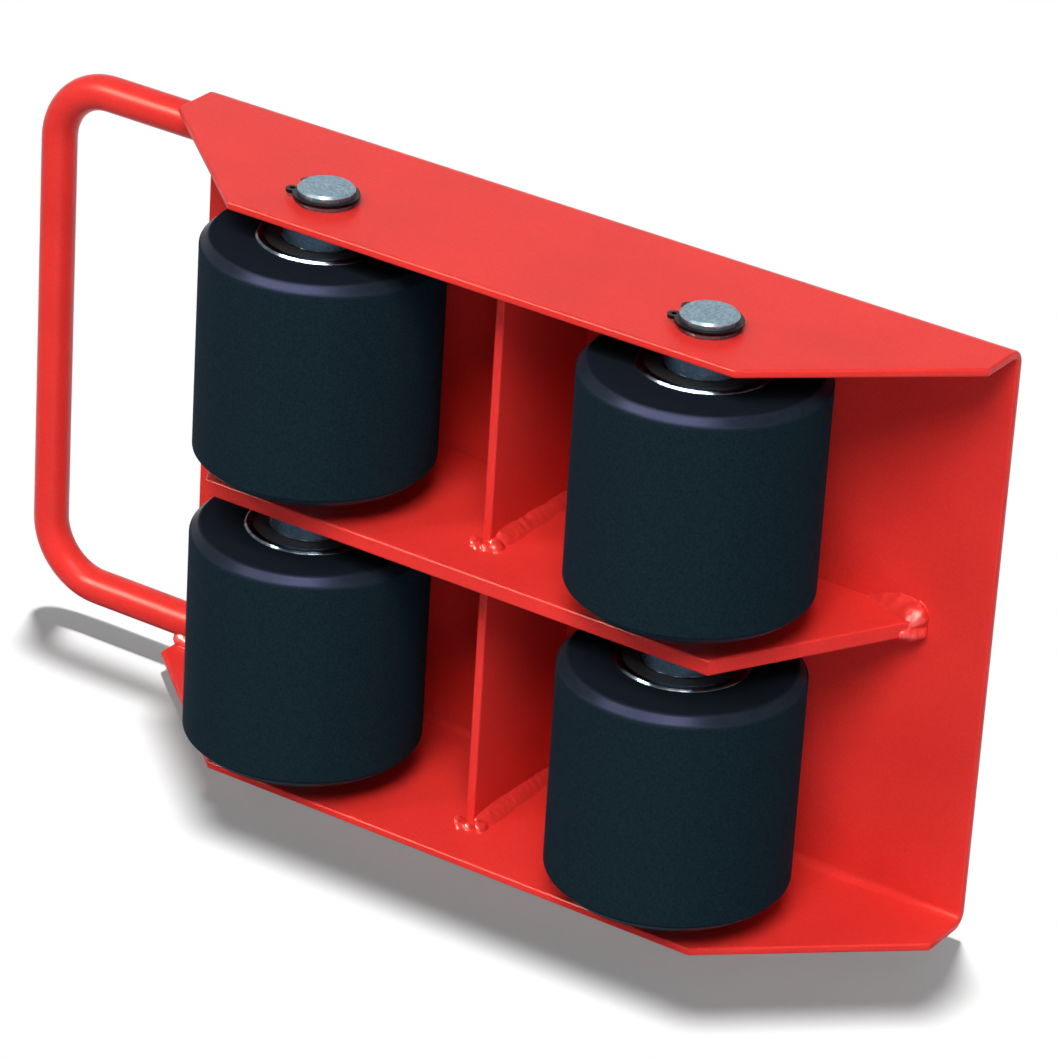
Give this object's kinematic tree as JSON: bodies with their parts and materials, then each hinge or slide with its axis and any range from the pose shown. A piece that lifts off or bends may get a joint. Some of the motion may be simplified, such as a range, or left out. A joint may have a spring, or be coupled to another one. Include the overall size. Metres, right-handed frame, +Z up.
{
  "type": "machine skate",
  "caption": "Low machine skate: folded steel channel deck on solid nylon rollers with ball bearings, through axles, centre web, cross ribs and a bent bar pull handle.",
  "frame": {"origin": "on the floor under the middle of the whole skate, handle included, with the rollers standing on z 0", "axes": "+X along the skate, away from the handle; +Y along the axles; +Z up, out of the load face"},
  "size_m": [0.3958, 0.2298, 0.0978],
  "materials": {
    "red_gloss_paint": "glossy sprayed enamel",
    "black_nylon": "turned, satin",
    "zinc_axle": "zinc plated",
    "zinc_spacer": "zinc plated",
    "blackened_circlip": "phosphated spring steel",
    "bearing_steel": "ground",
    "cage_steel": "pressed",
    "seal_rubber": "moulded"
  },
  "bodies": {
    "frame": {"frame_channel": "red_gloss_paint", "centre_web": "red_gloss_paint", "cross_rib_left": "red_gloss_paint", "cross_rib_right": "red_gloss_paint", "web_end_welds": "red_gloss_paint", "rib_welds": "red_gloss_paint", "pull_handle": "red_gloss_paint", "handle_welds": "red_gloss_paint", "axle_front": "zinc_axle", "axle_rear": "zinc_axle", "axle_circlips": "blackened_circlip", "spacer_front_left_outer": "zinc_spacer", "inner_race_front_left_outer": "bearing_steel", "spacer_front_left_inner": "zinc_spacer", "inner_race_front_left_inner": "bearing_steel", "spacer_front_right_outer": "zinc_spacer", "inner_race_front_right_outer": "bearing_steel", "spacer_front_right_inner": "zinc_spacer", "inner_race_front_right_inner": "bearing_steel", "spacer_rear_left_outer": "zinc_spacer", "inner_race_rear_left_outer": "bearing_steel", "spacer_rear_left_inner": "zinc_spacer", "inner_race_rear_left_inner": "bearing_steel", "spacer_rear_right_outer": "zinc_spacer", "inner_race_rear_right_outer": "bearing_steel", "spacer_rear_right_inner": "zinc_spacer", "inner_race_rear_right_inner": "bearing_steel"},
    "roller_front_left": {"roller_front_left": "black_nylon", "outer_race_front_left_outer": "bearing_steel", "outer_race_front_left_inner": "bearing_steel", "bearing_seals_front_left": "seal_rubber"},
    "cage_front_left": {"cage_front_left_outer": "cage_steel", "cage_front_left_inner": "cage_steel", "bearing_balls_front_left": "bearing_steel"},
    "roller_front_right": {"roller_front_right": "black_nylon", "outer_race_front_right_outer": "bearing_steel", "outer_race_front_right_inner": "bearing_steel", "bearing_seals_front_right": "seal_rubber"},
    "cage_front_right": {"cage_front_right_outer": "cage_steel", "cage_front_right_inner": "cage_steel", "bearing_balls_front_right": "bearing_steel"},
    "roller_rear_left": {"roller_rear_left": "black_nylon", "outer_race_rear_left_outer": "bearing_steel", "outer_race_rear_left_inner": "bearing_steel", "bearing_seals_rear_left": "seal_rubber"},
    "cage_rear_left": {"cage_rear_left_outer": "cage_steel", "cage_rear_left_inner": "cage_steel", "bearing_balls_rear_left": "bearing_steel"},
    "roller_rear_right": {"roller_rear_right": "black_nylon", "outer_race_rear_right_outer": "bearing_steel", "outer_race_rear_right_inner": "bearing_steel", "bearing_seals_rear_right": "seal_rubber"},
    "cage_rear_right": {"cage_rear_right_outer": "cage_steel", "cage_rear_right_inner": "cage_steel", "bearing_balls_rear_right": "bearing_steel"}
  },
  "joints": [
    {"name": "roller_front_left_spin", "type": "hinge", "parent": "frame", "child": "roller_front_left", "pos_m": [-0.04245, -0.05475, 0.0425], "axis": [0, 1, 0], "continuous": true},
    {"name": "cage_front_left_spin", "type": "hinge", "parent": "frame", "child": "cage_front_left", "pos_m": [-0.04245, -0.05475, 0.0425], "axis": [0, 1, 0], "continuous": true},
    {"name": "roller_front_right_spin", "type": "hinge", "parent": "frame", "child": "roller_front_right", "pos_m": [-0.04245, 0.05475, 0.0425], "axis": [0, 1, 0], "continuous": true},
    {"name": "cage_front_right_spin", "type": "hinge", "parent": "frame", "child": "cage_front_right", "pos_m": [-0.04245, 0.05475, 0.0425], "axis": [0, 1, 0], "continuous": true},
    {"name": "roller_rear_left_spin", "type": "hinge", "parent": "frame", "child": "roller_rear_left", "pos_m": [0.11115, -0.05475, 0.0425], "axis": [0, 1, 0], "continuous": true},
    {"name": "cage_rear_left_spin", "type": "hinge", "parent": "frame", "child": "cage_rear_left", "pos_m": [0.11115, -0.05475, 0.0425], "axis": [0, 1, 0], "continuous": true},
    {"name": "roller_rear_right_spin", "type": "hinge", "parent": "frame", "child": "roller_rear_right", "pos_m": [0.11115, 0.05475, 0.0425], "axis": [0, 1, 0], "continuous": true},
    {"name": "cage_rear_right_spin", "type": "hinge", "parent": "frame", "child": "cage_rear_right", "pos_m": [0.11115, 0.05475, 0.0425], "axis": [0, 1, 0], "continuous": true}
  ],
  "couplings": [
    {"joint": "cage_front_left_spin", "follows": "roller_front_left_spin", "ratio": 0.61848},
    {"joint": "cage_front_right_spin", "follows": "roller_front_right_spin", "ratio": 0.61848},
    {"joint": "cage_rear_left_spin", "follows": "roller_rear_left_spin", "ratio": 0.61848},
    {"joint": "cage_rear_right_spin", "follows": "roller_rear_right_spin", "ratio": 0.61848}
  ]
}
